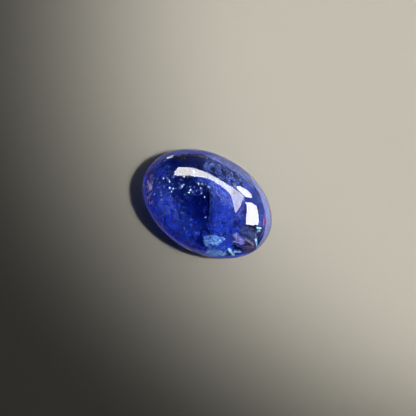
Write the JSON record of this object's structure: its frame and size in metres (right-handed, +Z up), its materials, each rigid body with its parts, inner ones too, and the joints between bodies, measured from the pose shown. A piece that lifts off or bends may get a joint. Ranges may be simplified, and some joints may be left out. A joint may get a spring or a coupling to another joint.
{
  "type": "oval tanzanite cabochon",
  "caption": "Loose oval gemstone: polished violet-blue dome on a thin girdle, with a low curved back that ends in a small flat the stone rests on.",
  "frame": {"origin": "centre of the small flat on the back that the stone rests on", "axes": "+X along the oval's long axis, +Y across its width, +Z up through the top of the dome"},
  "size_m": [0.014, 0.01, 0.005],
  "materials": {
    "tanzanite": "polished, see-through, deep violet-blue with inclusions"
  },
  "bodies": {
    "root": {"tanzanite_cabochon": "tanzanite"}
  },
  "joints": []
}
